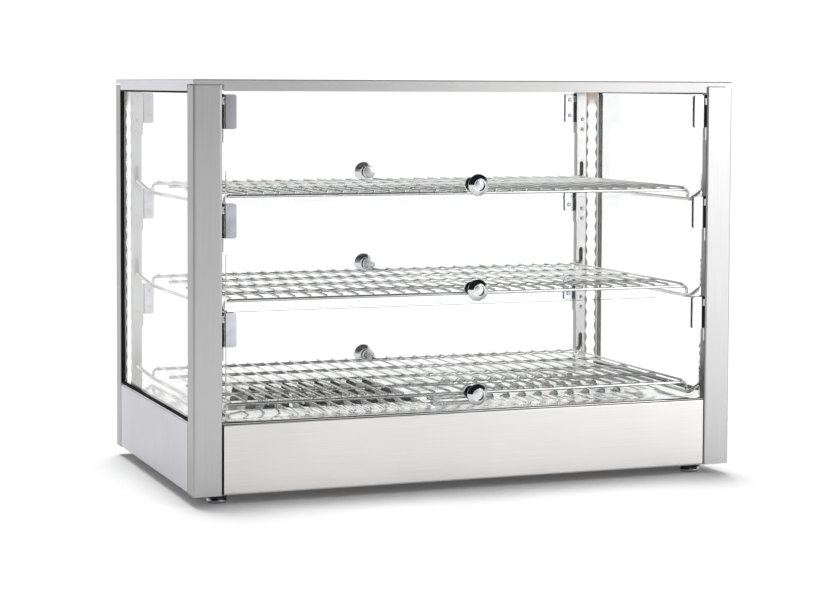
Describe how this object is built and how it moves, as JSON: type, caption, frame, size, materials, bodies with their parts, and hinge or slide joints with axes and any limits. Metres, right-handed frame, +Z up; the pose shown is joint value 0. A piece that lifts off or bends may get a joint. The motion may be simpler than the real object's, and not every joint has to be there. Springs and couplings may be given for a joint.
{
  "type": "heated display case",
  "caption": "Countertop heated food display case with glass flap doors, wire shelves, lit corner posts and a louvred floor",
  "frame": {"origin": "middle of the footprint on the ground, under the feet", "axes": "+X to the right of the customer's side along the length, -Y towards the customer, +Z up"},
  "size_m": [0.66, 0.41, 0.47],
  "materials": {
    "case_steel": "fine brushed",
    "floor_steel": "polished",
    "inner_steel": "plain",
    "heater_steel": "heat darkened",
    "probe_steel": "polished tube",
    "wire_chrome": "bright plated wire",
    "clip_chrome": "satin plated",
    "knob_chrome": "mirror plated",
    "door_glass": "clear tempered",
    "window_glass": "clear tempered",
    "seal_rubber": "matte",
    "foot_rubber": "matte",
    "lens_plastic": "frosted, lit from behind",
    "strip_plastic": "white circuit strip",
    "control_plastic": "moulded",
    "dial_plastic": "moulded",
    "rocker_plastic": "gloss",
    "pilot_plastic": "translucent",
    "terminal_plastic": "moulded",
    "supply_plastic": "moulded"
  },
  "bodies": {
    "case": {"base_panel_front": "case_steel", "base_panel_left": "case_steel", "base_panel_rear": "case_steel", "base_panel_right": "case_steel", "base_tray": "inner_steel", "cable_gland": "control_plastic", "ceiling_panel": "inner_steel", "feet": "foot_rubber", "floor_plate": "floor_steel", "heat_probe": "probe_steel", "heat_switch_body": "control_plastic", "heater_brackets": "inner_steel", "heater_left": "heater_steel", "heater_right": "heater_steel", "hinge_straps": "case_steel", "lamp_lenses": "lens_plastic", "lamp_strips": "strip_plastic", "lamp_supply": "supply_plastic", "light_switch_body": "control_plastic", "pilot_lamp": "pilot_plastic", "post_front_left": "case_steel", "post_front_right": "case_steel", "post_rear_left": "case_steel", "post_rear_right": "case_steel", "probe_clips": "clip_chrome", "shelf_rails_left": "wire_chrome", "shelf_rails_right": "wire_chrome", "side_glass_left": "window_glass", "side_glass_right": "window_glass", "side_seal_left": "seal_rubber", "side_seal_right": "seal_rubber", "terminal_block": "terminal_plastic", "thermostat": "control_plastic", "top_cover": "case_steel"},
    "front_door_bottom": {"front_door_bottom_glass": "door_glass", "front_door_bottom_clips": "clip_chrome", "front_door_bottom_knob": "knob_chrome"},
    "front_door_middle": {"front_door_middle_glass": "door_glass", "front_door_middle_clips": "clip_chrome", "front_door_middle_knob": "knob_chrome"},
    "front_door_top": {"front_door_top_glass": "door_glass", "front_door_top_clips": "clip_chrome", "front_door_top_knob": "knob_chrome"},
    "rear_door_bottom": {"rear_door_bottom_glass": "door_glass", "rear_door_bottom_clips": "clip_chrome", "rear_door_bottom_knob": "knob_chrome"},
    "rear_door_middle": {"rear_door_middle_glass": "door_glass", "rear_door_middle_clips": "clip_chrome", "rear_door_middle_knob": "knob_chrome"},
    "rear_door_top": {"rear_door_top_glass": "door_glass", "rear_door_top_clips": "clip_chrome", "rear_door_top_knob": "knob_chrome"},
    "shelf_bottom_body": {"shelf_bottom": "wire_chrome"},
    "shelf_middle_body": {"shelf_middle": "wire_chrome"},
    "shelf_top_body": {"shelf_top": "wire_chrome"},
    "thermostat_dial_body": {"thermostat_dial": "dial_plastic"},
    "heat_rocker": {"heat_switch_rocker": "rocker_plastic"},
    "light_rocker": {"light_switch_rocker": "rocker_plastic"}
  },
  "joints": [
    {"name": "front_door_bottom_hinge", "type": "hinge", "parent": "case", "child": "front_door_bottom", "pos_m": [0, -0.184, 0.2071], "axis": [-1, 0, 0], "range_deg": [0, 90]},
    {"name": "front_door_middle_hinge", "type": "hinge", "parent": "case", "child": "front_door_middle", "pos_m": [0, -0.184, 0.3268], "axis": [-1, 0, 0], "range_deg": [0, 90]},
    {"name": "front_door_top_hinge", "type": "hinge", "parent": "case", "child": "front_door_top", "pos_m": [0, -0.184, 0.4465], "axis": [-1, 0, 0], "range_deg": [0, 90]},
    {"name": "rear_door_bottom_hinge", "type": "hinge", "parent": "case", "child": "rear_door_bottom", "pos_m": [0, 0.184, 0.2071], "axis": [1, 0, 0], "range_deg": [0, 90]},
    {"name": "rear_door_middle_hinge", "type": "hinge", "parent": "case", "child": "rear_door_middle", "pos_m": [0, 0.184, 0.3268], "axis": [1, 0, 0], "range_deg": [0, 90]},
    {"name": "rear_door_top_hinge", "type": "hinge", "parent": "case", "child": "rear_door_top", "pos_m": [0, 0.184, 0.4465], "axis": [1, 0, 0], "range_deg": [0, 90]},
    {"name": "shelf_bottom_lift", "type": "slide", "parent": "case", "child": "shelf_bottom_body", "axis": [0, 0, 1], "range_m": [0, 0.015]},
    {"name": "shelf_middle_lift", "type": "slide", "parent": "case", "child": "shelf_middle_body", "axis": [0, 0, 1], "range_m": [0, 0.015]},
    {"name": "shelf_top_lift", "type": "slide", "parent": "case", "child": "shelf_top_body", "axis": [0, 0, 1], "range_m": [0, 0.015]},
    {"name": "thermostat_turn", "type": "hinge", "parent": "case", "child": "thermostat_dial_body", "pos_m": [0.15, 0.1908, 0.052], "axis": [0, 1, 0], "range_deg": [0, 270]},
    {"name": "heat_rocker_tilt", "type": "hinge", "parent": "case", "child": "heat_rocker", "pos_m": [0.078, 0.19, 0.052], "axis": [-1, 0, 0], "range_deg": [0, 20]},
    {"name": "light_rocker_tilt", "type": "hinge", "parent": "case", "child": "light_rocker", "pos_m": [0.044, 0.19, 0.052], "axis": [-1, 0, 0], "range_deg": [0, 20]}
  ]
}
